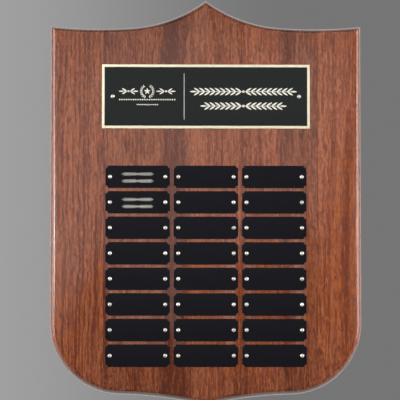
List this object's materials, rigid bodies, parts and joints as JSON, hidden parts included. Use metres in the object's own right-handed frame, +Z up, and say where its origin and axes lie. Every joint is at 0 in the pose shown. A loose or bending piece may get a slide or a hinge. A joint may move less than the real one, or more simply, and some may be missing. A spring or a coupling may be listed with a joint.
{
  "type": "wall plaque",
  "caption": "Shield-shaped walnut wall plaque with a rounded edge, a bordered black header plate and a grid of small black name plates held by brass screws.",
  "frame": {"origin": "centre of the board's back face, half-way across and half-way up, on the wall plane", "axes": "+Z up as the plaque hangs, +Y out of the back into the wall, +X to the right as seen from the front, so the face looks along -Y"},
  "size_m": [0.3048, 0.0213, 0.3978],
  "materials": {
    "walnut": "clear satin lacquer over plain-sawn walnut, glossier on the rounded edge",
    "black_lacquer": "satin black lacquer on brass sheet",
    "polished_brass": "pale satin brass",
    "zinc_steel": "bright zinc plate"
  },
  "bodies": {
    "root": {"board_stave_1": "walnut", "board_stave_2": "walnut", "board_stave_3": "walnut", "board_stave_4": "walnut", "board_stave_5": "walnut", "board_stave_6": "walnut", "header_plate": "black_lacquer", "header_screw_left": "polished_brass", "header_screw_right": "polished_brass", "name_plate_row1_col1": "black_lacquer", "name_plate_row1_col2": "black_lacquer", "name_plate_row1_col3": "black_lacquer", "name_plate_row2_col1": "black_lacquer", "name_plate_row2_col2": "black_lacquer", "name_plate_row2_col3": "black_lacquer", "name_plate_row3_col1": "black_lacquer", "name_plate_row3_col2": "black_lacquer", "name_plate_row3_col3": "black_lacquer", "name_plate_row4_col1": "black_lacquer", "name_plate_row4_col2": "black_lacquer", "name_plate_row4_col3": "black_lacquer", "name_plate_row5_col1": "black_lacquer", "name_plate_row5_col2": "black_lacquer", "name_plate_row5_col3": "black_lacquer", "name_plate_row6_col1": "black_lacquer", "name_plate_row6_col2": "black_lacquer", "name_plate_row6_col3": "black_lacquer", "name_plate_row7_col1": "black_lacquer", "name_plate_row7_col2": "black_lacquer", "name_plate_row7_col3": "black_lacquer", "name_plate_row8_col1": "black_lacquer", "name_plate_row8_col2": "black_lacquer", "name_plate_row8_col3": "black_lacquer", "keyhole_plate": "zinc_steel", "keyhole_screw_upper": "zinc_steel", "keyhole_screw_lower": "zinc_steel"}
  },
  "joints": []
}
